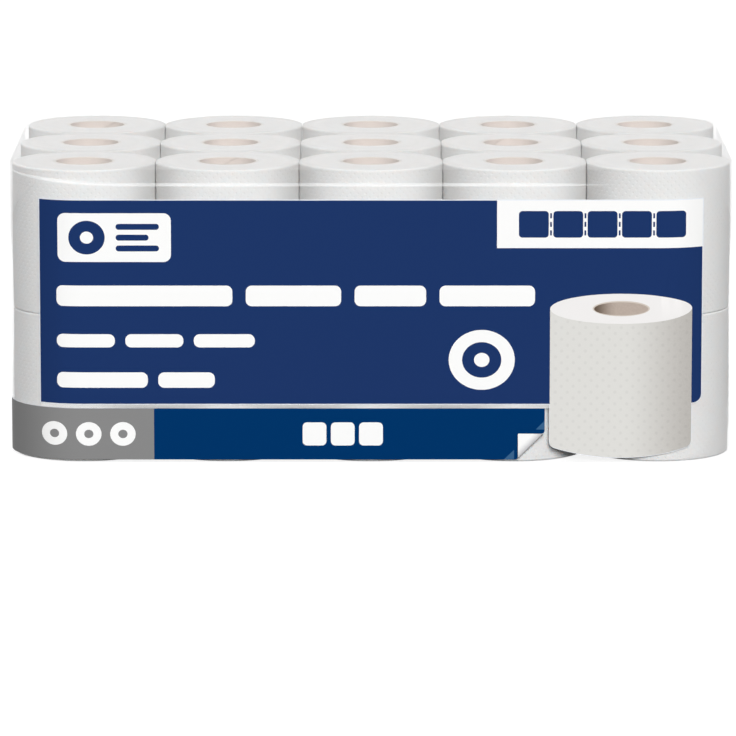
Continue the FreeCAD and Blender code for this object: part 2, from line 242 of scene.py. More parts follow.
# Toilet rolls. Each is soft creped tissue wound on its core and sawn from a long log, so
# its ends are flat and show the edges of the turns. Packed tight, the rolls are pressed
# flat where they touch, and the last sheet's end lies glued down along one side.
layers = ("lower", "upper")
roll_points_around = 128
roll_end_steps = 7
roll_side_steps = 11
roll_rim = 1.1 * mm
roll_rim_turn = ((1.0, 0.0), (0.62, 0.08), (0.29, 0.29), (0.08, 0.62), (0.0, 1.0))
roll_belly = 0.35 * mm
roll_unevenness = 0.2 * mm
roll_end_roughness = 0.12 * mm
roll_film_gap = 0.02 * mm
tail_step = 0.7 * mm
tail_gap = math.radians(0.35)
tissue_tone = (0.825, 0.825, 0.82)
tissue_warm_tone = (0.79, 0.785, 0.775)
tissue_cloud_tone = (0.845, 0.845, 0.84)
tissue_glow_reach = (1.8, 1.6, 1.5)
dot_spacing = 5.2 * mm
turn_edge_tone = (0.85, 0.84, 0.83)
turn_shadow_tone = (0.72, 0.71, 0.695)
turn_fluff_tone = (0.86, 0.855, 0.85)
# painted shade: a darker tissue tone where two rolls press together, standing in for the shade in the
# valleys between them
valley_shade_tone = (0.69, 0.685, 0.675)


def soften(paper):
    """Light goes a little way into soft paper and comes out again."""
    paper.set(paper.shader, "Subsurface Weight", 1.0)
    paper.set(paper.shader, "Subsurface Radius", tissue_glow_reach)
    paper.set(paper.shader, "Subsurface Scale", mm)


def make_tissue():
    """The roll's side: creped in fine upright lines, and embossed with small dots."""
    tissue = Finish("tissue_side", Roughness=0.95, Sheen_Weight=0.1, Specular_IOR_Level=0.15)
    soften(tissue)
    place = tissue.object_place()
    x, y, z = (tissue.add("SeparateXYZ", place, out=i) for i in range(3))
    around = tissue.maths("MULTIPLY", tissue.maths("ARCTAN2", y, x), 49 * mm)
    flat = tissue.add("CombineXYZ", around, z, 0.0)
    crepe = tissue.grain(flat, (6, 1, 1), 260)
    clouds = tissue.grain(place, (1, 1, 1), 45, 3)
    dots = tissue.add("MapRange", tissue.lattice(around, z, dot_spacing), 0.72, 0.95, 0.0, -1.0)
    tone = tissue.blend(tissue.maths("MULTIPLY", crepe, 0.5), tissue_tone, tissue_warm_tone)
    tone = tissue.blend(tissue.maths("MULTIPLY", clouds, 0.4), tone, tissue_cloud_tone)
    # painted shade: the side is darkened where it faces a neighbouring roll closely
    valley_shade = tissue.add("Attribute", out=2, attribute_name="valley_shade")
    tone = tissue.blend(valley_shade, tone, valley_shade_tone)
    tissue.set(tissue.shader, "Base Color", tone)
    tissue.relief(tissue.maths("ADD", tissue.maths("MULTIPLY", crepe, 0.5), dots), 0.22 * mm, 0.7)
    return tissue.material


def make_turn_edges():
    """The sawn end: hundreds of turns, seen as fine uneven rings round the core."""
    edges = Finish("turn_edges", Roughness=0.97, Specular_IOR_Level=0.1)
    soften(edges)
    place = edges.object_place()
    x, y = (edges.add("SeparateXYZ", place, out=i) for i in range(2))
    flat = edges.add("CombineXYZ", x, y, 0.0)
    reach = edges.add("VectorMath", flat, operation="LENGTH", out=1)
    drift = edges.grain(flat, (1, 1, 1), 34, 3)
    wound = edges.maths("ADD", reach, edges.maths("MULTIPLY", drift, 1.6 * mm))
    ring_place = edges.add("CombineXYZ", edges.maths("MULTIPLY", wound, 950.0), 0.0, 0.0)
    wide_place = edges.add("CombineXYZ", edges.maths("MULTIPLY", wound, 260.0), 0.0, 0.0)
    fine = edges.add("TexNoise", ring_place, None, 1.0, 3.0)
    wide = edges.add("TexNoise", wide_place, None, 1.0, 2.0)
    fluff = edges.grain(flat, (1, 1, 1), 700, 3)
    rings = edges.maths("ADD", edges.maths("MULTIPLY", fine, 0.55), edges.maths("MULTIPLY", wide, 0.45))
    shade = edges.add("MapRange", rings, 0.35, 0.72, 0.0, 1.0)
    tone = edges.blend(edges.maths("MULTIPLY", shade, 0.9), turn_edge_tone, turn_shadow_tone)
    tone = edges.blend(edges.maths("MULTIPLY", fluff, 0.3), tone, turn_fluff_tone)
    # painted shade: the end is darkened near its rim where the roll touches its neighbour
    valley_shade = edges.add("Attribute", out=2, attribute_name="valley_shade")
    tone = edges.blend(edges.maths("MULTIPLY", valley_shade, 0.5), tone, valley_shade_tone)
    edges.set(edges.shader, "Base Color", tone)
    edges.relief(edges.maths("SUBTRACT", edges.maths("MULTIPLY", fluff, 0.4), rings), 0.4 * mm, 0.9)
    return edges.material


free_low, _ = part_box("roll_front_1_lower")
free_radius = stack_axis("front", 1)[0] - free_low.x
core_low, core_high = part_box("cores_front_1")
bore_radius = (core_high.x - core_low.x) / 2 + 0.1 * mm


def pressed_radius(angle, sides):
    """How far out the tissue lies at an angle: round, but pressed flat where the box of
    the roll is narrower. Also the share in which it is pressed there, from 0 to 1, and how
    straight it faces the roll beside it, where 1 is where the flat begins."""
    left, right, front, back = sides
    power = 90
    across, along = math.cos(angle), math.sin(angle)
    total = free_radius ** -power
    close = 0.0
    for reach, push in ((right, across), (left, -across), (back, along), (front, -along)):
        if push > 0.3 and reach < free_radius - 0.1 * mm:
            total += (push / reach) ** power
            close = max(close, push * free_radius / reach)
    return total ** (-1 / power), min(total * free_radius ** power - 1, 1), close


def roll_rings(height, sides, dice):
    """The rings of one roll: from the bore over the foot, up the side and in again."""
    tail = dice.uniform(0, math.pi)
    unevenness = dice.uniform(0, 100)
    lower_part = [("end", i / roll_end_steps, 0.0) for i in range(roll_end_steps)]
    lower_part += [("rim", inward, rise) for inward, rise in roll_rim_turn]
    lower_part.append(("side", 0.0, 0.006))
    upright = [("side", 0.0, i / roll_side_steps) for i in range(1, roll_side_steps)]
    path = [(*step, False) for step in lower_part + upright]
    path += [(*step, True) for step in reversed(lower_part)]
    made, valley_shade_shares = [], []
    for kind, inward, rise, upper in path:
        ring = []
        for i in range(roll_points_around):
            turned = i / (roll_points_around - 1)
            angle = tail + (2 * math.pi - tail_gap) * turned
            outer, pressed, close = pressed_radius(angle, sides)
            loose = 1 - pressed
            swell = noise.noise(Vector((math.cos(angle), math.sin(angle), unevenness)))
            outer -= loose * (tail_step * (1 - turned) + roll_unevenness * (1 + swell))
            outer -= roll_film_gap
            slack = roll_belly * loose
            if kind == "end":
                reach = bore_radius + (outer - roll_rim - bore_radius) * inward
                dent = noise.noise(Vector((reach * 300, unevenness, turned * 2)))
                z = roll_end_roughness * (1 + dent)
            elif kind == "rim":
                reach = outer - roll_rim * inward
                z = roll_rim * rise
            else:
                reach = outer - slack * (1 - math.sin(math.pi * rise))
                z = roll_rim + (height - 2 * roll_rim) * rise
            if kind == "rim":
                reach -= slack
            ring.append((reach * math.cos(angle), reach * math.sin(angle), height - z if upper else z))
            # how much painted valley shade each point takes, from 0 to 1: more where the roll faces its
            # neighbour closely
            near = min(max((close - 0.6) / 0.38, 0), 1) * (inward ** 8 if kind == "end" else 1)
            valley_shade_shares.append(near * near * (3 - 2 * near))
        made.append(ring)
    return made, valley_shade_shares


tissue = make_tissue()
turn_edges = make_turn_edges()
for row in rows:
    for column in columns:
        for layer in layers:
            node = f"roll_{row}_{column}_{layer}"
            low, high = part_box(node)
            axis_x, axis_y = stack_axis(row, column)
            sides = (axis_x - low.x, high.x - axis_x, axis_y - low.y, high.y - axis_y)
            rings, valley_shade_shares = roll_rings(high.z - low.z, sides, random.Random(node))
            points = [point for ring in rings for point in ring]
            wound = new_mesh(node + "_tissue", points, ring_faces(rings), (tissue, turn_edges))
            wound.attributes.new("valley_shade", "FLOAT", "POINT").data.foreach_set("value", valley_shade_shares)
            smooth(wound)
            last_side = len(rings) - 2 - roll_end_steps
            for face in wound.polygons:
                ring = face.index // roll_points_around
                face.material_index = int(ring < roll_end_steps or ring > last_side)
            roll = add_piece(wound, (axis_x, axis_y, low.z))
            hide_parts(node)
            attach(roll, "root")

# Film wrap. One skin of clear, glossy polyethylene, pulled tight round all the rolls. It
# spans the valleys between them dead straight and dips a little over the cores.
film_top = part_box("film_wrap")[1].z
film_axis_x = -stack_axis("front", 1)[0]
film_axis_y = -stack_axis("front", 1)[1]
film_reach = free_radius + 0.4 * mm
stack_pitch = stack_axis("front", 2)[0] - stack_axis("front", 1)[0]
skin_haze = 0.02
film_sag = 0.5 * mm
film_slack = 0.6 * mm
white_base = ((-222.3 * mm, 119.9 * mm), (-1.0, -film_axis_y), (36.9 * mm, 39.6 * mm))
white_base_cover = 0.5


def make_film(name, haze, shine=0.5, folds=0.05, mirror_share=0.9, highlight_fade=None, printed=None):
    """Clear film: it mirrors more the flatter it is looked along, and is a little milky, more so along
    fine upright folds. Where it fades, as a painted highlight, it is plain clear beyond the second of
    two places along the pack, and thinner between the rolls. Inside a printed box it carries a thin
    white base coat."""
    film = Finish(name, Base_Color=(0.97, 0.97, 0.97), Roughness=0.12, Metallic=mirror_share)
    place = film.object_place()
    facing = film.add("LayerWeight", 0.5, out=1)
    mirror = film.maths("MULTIPLY", film.maths("POWER", facing, 4.0), shine)
    clouds = film.grain(place, (1, 1, 0.25), 26, 3)
    milky = film.add("MapRange", clouds, 0.35, 0.75, haze, 2 * haze)
    slack = film.grain(place, (1, 1, 0.08), 40, 2)
    off_fold = film.maths("ABSOLUTE", film.maths("SUBTRACT", slack, 0.5))
    fold_line = film.add("MapRange", off_fold, 0.0, 0.014, folds, 0.0)
    cover = film.maths("ADD", film.maths("ADD", mirror, milky), fold_line)
    # painted highlight: the cover fades out along the pack and thins between the rolls
    if highlight_fade:
        x = film.add("SeparateXYZ", place)
        cover = film.maths("MULTIPLY", cover, film.add("MapRange", x, *highlight_fade, 1.0, 0.0))
        roll_wave = film.maths("COSINE", film.maths("MULTIPLY", x, 2 * math.pi / stack_pitch))
        thinned = film.add("MapRange", roll_wave, -1.0, -0.4, 0.45, 1.0)
        cover = film.maths("MULTIPLY", cover, thinned)
    if printed:
        inside = white_base_cover
        for axis, (low, high) in enumerate(printed):
            spot = film.add("SeparateXYZ", place, out=axis)
            within = film.maths("COMPARE", spot, (low + high) / 2, (high - low) / 2)
            inside = film.maths("MULTIPLY", within, inside)
        cover = film.maths("ADD", cover, inside)
    cover = film.add("Clamp", cover, 0.0, 1.0)
    film.relief(clouds, 0.4 * mm, 0.2)
    clear = film.add("BsdfTransparent", (1.0, 1.0, 1.0))
    mixed = film.add("MixShader", cover, clear, film.shader.outputs[0])
    film.set(film.tree.nodes["Material Output"], "Surface", mixed)
    return film.material


def wrapped(side, across, z, lift):
    """A point on the wrap, given as seen from one side: how far across, and how high."""
    corner, beyond = film_axis_x, film_axis_y
    if side in ("left", "right"):
        corner, beyond = film_axis_y, film_axis_x
    over = abs(across) - corner
    out, sideways = beyond + film_reach + lift, across
    if over > 0:
        angle = math.asin(min(over / film_reach, 1))
        out = beyond + (film_reach + lift) * math.cos(angle)
        sideways = math.copysign(corner + (film_reach + lift) * math.sin(angle), across)
    return {
        "front": (sideways, -out, z),
        "back": (-sideways, out, z),
        "right": (out, sideways, z),
        "left": (-out, -sideways, z),
    }[side]


def wall_outline(spacing):
    """Places round the wrap, each with the direction in which it faces."""
    places = []
    corners = ((1, -1), (1, 1), (-1, 1), (-1, -1))
    for i, (side_x, side_y) in enumerate(corners):
        x, y = side_x * film_axis_x, side_y * film_axis_y
        for j in range(17):
            angle = math.radians(-90 + 90 * i + 90 * j / 16)
            places.append((x, y, math.cos(angle), math.sin(angle)))
        next_x = corners[(i + 1) % 4][0] * film_axis_x
        next_y = corners[(i + 1) % 4][1] * film_axis_y
        steps = round(math.hypot(next_x - x, next_y - y) / spacing)
        facing = (math.cos(math.radians(90 * i)), math.sin(math.radians(90 * i)))
        for j in range(1, steps):
            share = j / steps
            places.append((x + (next_x - x) * share, y + (next_y - y) * share, *facing))
    return places


def valley(along):
    """0 in line with a roll's axis and 1 halfway between two of them."""
    return 0.5 - 0.5 * math.cos(2 * math.pi * along / stack_pitch)


def film_dip(x, y):
    """How far the film sags between the rolls' tops and over their cores."""
    over_x = x - stack_pitch * min(max(round(x / stack_pitch), -2), 2)
    over_y = y - stack_pitch * min(max(round(y / stack_pitch), -1), 1)
    away = math.hypot(over_x, over_y)
    hole = bore_radius - core_wall
    if away < hole:
        return film_sag * (1 - (away / hole) ** 2)
    return film_sag * min(max((away - free_radius) / (10 * mm), 0), 1)


def film_skin():
    """The closed skin: a wall round the pack, and a top and a bottom sheet."""
    outline = wall_outline(6 * mm)
    around = len(outline)
    rim = 1.0 * mm
    wall_steps = 30
    profile = [(rim, 0.0), (0.3 * rim, 0.3 * rim), (0.0, rim), (0.0, 1.2 * rim)]
    for i in range(1, wall_steps):
        profile.append((0.0, rim + (film_top - 2 * rim) * i / wall_steps))
    profile += [(inset, film_top - z) for inset, z in reversed(profile[:4])]
    points, faces = [], []
    for inset, z in profile:
        for x, y, facing_x, facing_y in outline:
            straight = max(abs(facing_x), abs(facing_y)) > 0.999
            along = x if abs(facing_y) > 0.5 else y
            slack = film_slack * valley(along) * straight * math.sin(math.pi * z / film_top)
            reach = film_reach - inset - max(slack, 0)
            points.append((x + facing_x * reach, y + facing_y * reach, z))
    for i in range(len(profile) - 1):
        for j in range(around):
            k = (j + 1) % around
            here, there = i * around, (i + 1) * around
            faces.append((here + j, here + k, there + k, there + j))
    grid = 4.5 * mm
    grid_half_wide = math.ceil((film_axis_x + film_reach) / grid)
    grid_half_deep = math.ceil((film_axis_y + film_reach) / grid)
    inner = []
    for i in range(-grid_half_wide, grid_half_wide + 1):
        for j in range(-grid_half_deep, grid_half_deep + 1):
            x, y = i * grid, j * grid
            past_x, past_y = max(abs(x) - film_axis_x, 0), max(abs(y) - film_axis_y, 0)
            if math.hypot(past_x, past_y) < film_reach - rim - 2 * mm:
                inner.append((x, y))
    for z, start, upward in ((0.0, 0, False), (film_top, (len(profile) - 1) * around, True)):
        edge = [points[start + j][:2] for j in range(around)]
        flat = [Vector(spot) for spot in edge + inner]
        triangles = delaunay_2d_cdt(flat, [], [], 0, 1e-7, False)[2]
        base = len(points)
        for x, y in inner:
            points.append((x, y, z - film_dip(x, y) if upward else z))
        number = [start + i if i < around else base + i - around for i in range(len(flat))]
        for triangle in triangles:
            corners = [number[i] for i in triangle]
            faces.append(tuple(corners if upward else reversed(corners)))
    return new_mesh("film_wrap_skin", points, faces, (clear_film, wall_film))


clear_film = make_film("clear_film", skin_haze, 0.22, 0.0)
wall_film = make_film("wall_film", skin_haze, 0.2, 0.03, printed=white_base)
skin_mesh = film_skin()
for face in skin_mesh.polygons:
    face.material_index = int(abs(face.normal.z) < 0.5)
smooth(skin_mesh, 60)
skin = add_piece(skin_mesh)
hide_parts("film_wrap")
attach(skin, "root")

# Film end flaps. On each end of the pack the tube of film is folded in like a parcel: a
# flap up from below and one down from above, creased from the corners at 45 degrees, laid
# over each other and sealed with a ribbed iron.
film_layer = 0.3 * mm
seal_overlap = 15 * mm
crimp_ribs = 4
crimp_spacing = 3.2 * mm
rib_start_share, rib_end_share = 0.28, 0.72
crease_width = 1.3 * mm
hem_width = 0.7 * mm
flap_grid = 4.2 * mm


def bent_sheet(name, side, outline, shapes, cuts, back, front, inner=()):
    """A sheet on the wrap, cut to an outline. Each shape on it takes its own material, by
    number, and a later shape lies over an earlier one. Cuts let it bend round a corner."""
    low = min(z for _, z in outline) - mm
    high = max(z for _, z in outline) + mm
    flat, loops, edges = [], [], []
    for points in [outline] + [points for points, _ in shapes]:
        ends = zip(points, points[1:] + points[:1])
        area = sum(x0 * z1 - x1 * z0 for (x0, z0), (x1, z1) in ends)
        loops.append(list(range(len(flat), len(flat) + len(points))))
        flat += [Vector(point) for point in (points if area > 0 else reversed(points))]
    for across in cuts:
        edges.append((len(flat), len(flat) + 1))
        flat += [Vector((across, low)), Vector((across, high))]
    flat += [Vector(point) for point in inner]
    spots, _, triangles, _, _, sources = delaunay_2d_cdt(flat, edges, loops, 1, 1e-7, True)
    kept = [(tuple(t), max(s)) for t, s in zip(triangles, sources) if 0 in s]
    used = sorted({corner for triangle, _ in kept for corner in triangle})
    number = {corner: i for i, corner in enumerate(used)}
    count = len(used)
    lift = front if callable(front) else lambda across, z: front
    points = [wrapped(side, *spots[i], lift(*spots[i])) for i in used]
    points += [wrapped(side, *spots[i], back) for i in used]
    faces, materials = [], []
    ways = set()
    for triangle, top_shape in kept:
        a, b, c = (number[i] for i in triangle)
        ways |= {(a, b), (b, c), (c, a)}
        faces += [(a, b, c), (count + c, count + b, count + a)]
        materials += [shapes[top_shape - 1][1] if top_shape else 0, 0]
    for a, b in sorted(ways):
        if (b, a) not in ways:
            faces.append((b, a, count + a, count + b))
            materials.append(0)
    mesh = new_mesh(name, points, faces)
    mesh.polygons.foreach_set("material_index", materials)
    smooth(mesh)
    return mesh


def corner_cuts(corner, steps=10):
    """Where a sheet is cut so that it bends evenly round both corners of a side."""
    turns = [math.sin(math.radians(90 * i / steps)) for i in range(steps + 1)]
    over = [corner + film_reach * turn for turn in turns]
    return over + [-across for across in over]


def flap_outline(downward):
    """The flap's outline as seen from the end, its slanting sides at 45 degrees."""
    drop = (film_top + seal_overlap) / 2
    wide = film_axis_y + film_reach - mm
    if downward:
        tip = film_top - drop
        return [(-wide, film_top), (drop - wide, tip), (wide - drop, tip), (wide, film_top)]
    return [(-wide, 0), (wide, 0), (wide - drop, drop), (drop - wide, drop)]


def flap_creases(outline):
    """The white creases along a flap's slanting sides, which widen from the pack's corner
    towards the seal, and the one along its free edge."""
    wide = max(across for across, _ in outline)
    narrow = min(abs(across) for across, _ in outline)
    root = next(z for across, z in outline if abs(across) == wide)
    tip = next(z for across, z in outline if abs(across) == narrow)
    start = film_axis_y + 0.5 * film_reach
    start_z = root + (tip - root) * (wide - start) / (wide - narrow)
    hem_z = tip + math.copysign(hem_width, root - tip)
    return [
        ([(start, start_z), (narrow, tip), (narrow - crease_width, tip)], 1),
        ([(-start, start_z), (-narrow, tip), (crease_width - narrow, tip)], 1),
        ([(-narrow, tip), (narrow, tip), (narrow, hem_z), (-narrow, hem_z)], 1),
    ]


def flap_folds(base, downward, dice):
    """How far the film stands out over a flap: slack folds run in towards the seal."""
    shift = dice.uniform(0, 100)

    def lift(across, z):
        root_away = (film_top - z if downward else z) / film_top
        slant = across / (1.15 - root_away)
        wave = noise.noise(Vector((slant / (14 * mm), shift, root_away * 1.5)))
        return base + film_layer * (0.62 + 0.38 * wave)

    return lift


folded_film = make_film("folded_film", 0.03, 0.2, 0.12)
creased_film = make_film("creased_film", 0.3, mirror_share=0.5)
crimped_film = make_film("crimped_film", 0.18, folds=0.0, mirror_share=0.4)
rib_film = make_film("rib_film", 0.45, folds=0.0, mirror_share=0.1)
for side in ("left", "right"):
    for downward in (False, True):
        outline = flap_outline(downward)
        base = film_layer if downward else 0.0
        dice = random.Random(f"flap {side} {downward}")
        inner = []
        for i in range(-34, 35):
            for j in range(1, 46):
                across, z = i * flap_grid, j * flap_grid
                root_away = film_top - z if downward else z
                half_wide = film_axis_y + film_reach - root_away - 2.5 * mm
                if mm < root_away < (film_top + seal_overlap) / 2 - mm and abs(across) < half_wide:
                    inner.append((across, z))
        flap_name = f"film_{side}_{'upper' if downward else 'lower'}_flap"
        lift = flap_folds(base, downward, dice)
        creases = flap_creases(outline)
        cuts = corner_cuts(film_axis_y)
        flap_mesh = bent_sheet(flap_name, side, outline, creases, cuts, base, lift, inner)
        flap_mesh.materials.append(folded_film)
        flap_mesh.materials.append(creased_film)
        flap = add_piece(flap_mesh)
        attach(flap, "root")
    half = film_axis_y + film_reach - (film_top + seal_overlap) / 2 - 4 * mm
    low = film_top / 2 - crimp_ribs / 2 * crimp_spacing
    high = film_top / 2 + crimp_ribs / 2 * crimp_spacing
    rows_up = crimp_ribs * 8
    inner = []
    for i in range(-16, 17):
        for j in range(1, rows_up):
            inner.append((i / 17 * half, low + (high - low) * j / rows_up))

    def ribbed(across, z):
        wave = 0.5 - 0.5 * math.cos(2 * math.pi * (z - low) / crimp_spacing)
        return 2 * film_layer + 0.3 * mm * wave * min((half - abs(across)) / mm + 0.1, 1)

    crimp_outline = [(-half, low), (half, low), (half, high), (-half, high)]
    end = half - 0.8 * mm
    ribs = []
    for i in range(crimp_ribs):
        foot = low + (i + rib_start_share) * crimp_spacing
        head = low + (i + rib_end_share) * crimp_spacing
        ribs.append(([(-end, foot), (end, foot), (end, head), (-end, head)], 1))
    crimp_name = f"film_{side}_crimp"
    crimp_mesh = bent_sheet(crimp_name, side, crimp_outline, ribs, [], film_layer, ribbed, inner)
    crimp_mesh.materials.append(crimped_film)
    crimp_mesh.materials.append(rib_film)
    crimp = add_piece(crimp_mesh)
    crimp.visible_shadow = False
    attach(crimp, "root")

# Film welds. Along the front and the back, just under the rim, the film's edge is welded down in a
# narrow white line. Both lines climb towards the pack's left end. The front line's white is partly the
# weld's milky film and partly a painted highlight along the fold, fading to clear towards the right
# end.
weld_drop = 10 * mm
weld_half = 1.1 * mm
weld_climb = 5.5 * mm
weld_climb_start = 165 * mm
weld_climb_length = 79 * mm
weld_front_end = 169 * mm
weld_step = 8 * mm
weld_section = ((-1, 0.02), (-0.7, 0.22), (0, 0.29), (0.7, 0.22), (1, 0.02))


def weld_height(across, side):
    """How high the weld's line runs."""
    leftward = across if side == "back" else -across
    climb = max(leftward - weld_climb_start, 0) / weld_climb_length
    return film_top - weld_drop + weld_climb * climb ** 1.5


# painted highlight: the front weld's white dies away towards the pack's right end
front_weld_highlight_film = make_film("front_weld_highlight_film", 0.42, highlight_fade=(0.138, 0.164))
back_weld_film = make_film("back_weld_film", 0.4)
for side, film in (("front", front_weld_highlight_film), ("back", back_weld_film)):
    path = [-across for across in reversed(corner_cuts(film_axis_x)[:11])]
    path += [i * weld_step for i in range(-24, 25)] + corner_cuts(film_axis_x)[:11]
    if side == "front":
        path = [across for across in path if across < weld_front_end]
    points, faces = [], []
    for i, across in enumerate(path):
        taper = min(i, len(path) - 1 - i, 6) / 6
        for up, lift in weld_section:
            z = weld_height(across, side) + up * weld_half * (0.05 + 0.95 * taper)
            points.append(wrapped(side, across, z, lift * (0.1 + 0.9 * taper) * mm))
    around = len(weld_section)
    for i in range(len(path) - 1):
        here, there = i * around, (i + 1) * around
        for j in range(around):
            k = (j + 1) % around
            faces.append((here + j, there + j, there + k, here + k))
    last = (len(path) - 1) * around
    faces += [tuple(reversed(range(around))), tuple(range(last, last + around))]
    weld_mesh = new_mesh(f"film_{side}_weld", points, faces, (film,))
    smooth(weld_mesh, 80)
    weld = add_piece(weld_mesh)
    weld.visible_shadow = False
    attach(weld, "root")

# Front label. One sheet of coated paper stuck on the film, with a tongue in the shape of
# the roll pictured on it. Plain bars and simple signs are printed on its navy field. The
# places on it are in millimetres, from the front's middle and up from the pack's foot.
label_edge = 222.9
label_low = 39.5
label_high = 178.7
label_corner = 6
paper_margin = 0.6
navy_lower_margin = 0.5
tongue_left = 119.9
tongue_right = 215.9
tongue_foot_radius = 150
tongue_heel_radius = 5
tongue_foot_z = 3
picture_inset = 0.3
picture_top_z = 104.7
picture_top_half = 10.3
roll_middle = (tongue_left + tongue_right) / 2
roll_half = (tongue_right - tongue_left) / 2
sheet_back = 0.1 * mm
sheet_front = 0.35 * mm


def ink(red, green, blue):
    """A printed colour, given the way a picture file writes it."""
    parts = [part / 255 for part in (red, green, blue)]
    return tuple(part / 12.92 if part < 0.041 else ((part + 0.055) / 1.055) ** 2.4 for part in parts)


def make_print(name, tone, second_tone=None, ends=None, slope=(1, 0, 0), dot_pitch=None):
    """Ink on coated paper, even, or running from one tone to another along a slope, with or without
    faint dots. On the curl's bare back the run of tone is painted shade."""
    printed = Finish(name, Roughness=0.55, Specular_IOR_Level=0.04)
    place = printed.object_place()
    mottle = printed.grain(place, (1, 1, 1), 900, 2)
    colour = tone
    if second_tone:
        along = printed.add("VectorMath", place, slope, operation="DOT_PRODUCT", out=1)
        share = printed.add("MapRange", along, *ends, 0.0, 1.0, interpolation_type="SMOOTHSTEP")
        colour = printed.blend(share, tone, second_tone)
    if dot_pitch:
        x, _, z = (printed.add("SeparateXYZ", place, out=i) for i in range(3))
        dots = printed.add("MapRange", printed.lattice(x, z, dot_pitch), 0.72, 0.95, 0.0, 0.4)
        colour = printed.blend(dots, colour, (0.82, 0.82, 0.82), "MULTIPLY")
    lighter = tuple(min(part * 1.05 + 0.0005, 1) for part in tone)
    colour = printed.blend(printed.maths("MULTIPLY", mottle, 0.25), colour, lighter)
    printed.set(printed.shader, "Base Color", colour)
    printed.relief(mottle, 0.03 * mm, 0.3)
    return printed.material


def in_mm(points):
    return [(across * mm, z * mm) for across, z in points]


def arc(across, z, radius, start, end, steps):
    turns = [math.radians(start + (end - start) * i / steps) for i in range(steps + 1)]
    return [(across + radius * math.cos(turn), z + radius * math.sin(turn)) for turn in turns]


def bar(left, low, right, high, corner=0.0):
    """A rectangle, its corners round or not."""
    if not corner:
        return in_mm([(left, low), (right, low), (right, high), (left, high)])
    points = arc(right - corner, low + corner, corner, -90, 0, 6)
    points += arc(right - corner, high - corner, corner, 0, 90, 6)
    points += arc(left + corner, high - corner, corner, 90, 180, 6)
    points += arc(left + corner, low + corner, corner, 180, 270, 6)
    return in_mm(points)


def oval(across, z, half_wide, half_high, points=56):
    turns = [2 * math.pi * i / points for i in range(points)]
    return in_mm([(across + half_wide * math.cos(t), z + half_high * math.sin(t)) for t in turns])


def label_outline():
    """A field with one round corner, and the pictured roll's foot hanging below it."""
    foot, heel = tongue_foot_radius, tongue_heel_radius
    centre_z = tongue_foot_z + foot
    heel_z = centre_z - math.sqrt((foot - heel) ** 2 - (roll_half - heel) ** 2)
    lean = math.degrees(math.asin((roll_half - heel) / (foot - heel)))
    points = [(-label_edge, label_high), (-label_edge, label_low), (tongue_left, label_low)]
    points += arc(tongue_left + heel, heel_z, heel, 180, 270 - lean, 8)
    points += arc(roll_middle, centre_z, foot, -90 - lean, -90 + lean, 24)[1:]
    points += arc(tongue_right - heel, heel_z, heel, lean - 90, 0, 8)[1:]
    points += [(tongue_right, label_low)]
    points += arc(label_edge - label_corner, label_low + label_corner, label_corner, -90, 0, 8)
    points += [(label_edge, label_high)]
    return in_mm(points)


def pictured_roll():
    """The body of the roll in the picture, from its foot to half way round its top."""
    outline = [(x / mm, z / mm) for x, z in label_outline()]
    body = []
    for x, z in outline:
        if z < label_low - 0.01:
            inset = math.copysign(picture_inset, roll_middle - x)
            body.append((x + inset, z) if z > 12 else (x, z + picture_inset))
    half = roll_half - picture_inset
    for x, z in arc(0, 0, 1, 0, 180, 28):
        body.append((roll_middle + half * x, picture_top_z + picture_top_half * z))
    return in_mm(body)


# the numbers of the label's materials, in the order in which it takes them
navy, white, roll_print, roll_top_print, roll_hole_print, core_print = range(1, 7)
# the navy field, the white one at the upper right, the ringed disc and the pictured roll
field_edge = label_edge - paper_margin
field_high = label_high - paper_margin
field_low = label_low + navy_lower_margin
field_corner = label_corner - paper_margin
navy_field = [(-field_edge, field_high), (-field_edge, field_low)]
navy_field += arc(field_edge - field_corner, field_low + field_corner, field_corner, -90, 0, 8)
navy_field += [(field_edge, field_high)]
label_shapes = [
    (in_mm(navy_field), navy),
    (bar(84.4, 145.9, field_edge, field_high), white),
    (oval(74.4, 70, 22.2, 20.4, 72), white),
    (oval(74.4, 70, 13.2, 12.1), navy),
    (oval(74.4, 70, 5.2, 4.8), white),
    (pictured_roll(), roll_print),
    (oval(roll_middle, picture_top_z, 47.6, 10.2, 72), roll_top_print),
    (oval(roll_middle, picture_top_z + 0.2, 19.2, 5.2), core_print),
    (oval(roll_middle, picture_top_z, 18.2, 4.5), roll_hole_print),
]
# a white field at the upper left, with a roll's round end and three short bars
label_shapes += [
    (bar(-210, 136.5, -134, 169.5, 5), white),
    (oval(-190.5, 153, 12.2, 11.4), navy),
    (oval(-190.5, 153, 4.4, 4.1), white),
    (bar(-171, 158.3, -142, 162.3, 1.9), navy),
    (bar(-171, 151, -149, 155, 1.9), navy),
    (bar(-171, 143.7, -142, 147.7, 1.9), navy),
]
# three rows of white bars
bar_rows = (
    (106.5, 120.5, ((-211, -93), (-84, -20), (-11, 37), (46, 110))),
    (78.5, 87.5, ((-211, -172), (-165, -126), (-119, -78))),
    (51, 61.5, ((-211, -150), (-143, -105))),
)
for low, high, ends in bar_rows:
    for left, right in ends:
        label_shapes.append((bar(left, low, right, high, 4), white))
# a row of sheets with their perforations, in the white field
for i in range(5):
    left = 99 + i * 23
    label_shapes.append((bar(left, 153, left + 20, 171, 2.4), navy))
    for dash in range(3):
        if i < 4:
            low = 154.5 + dash * 5.8
            label_shapes.append((bar(left + 20.9, low, left + 22.1, low + 3.4), navy))

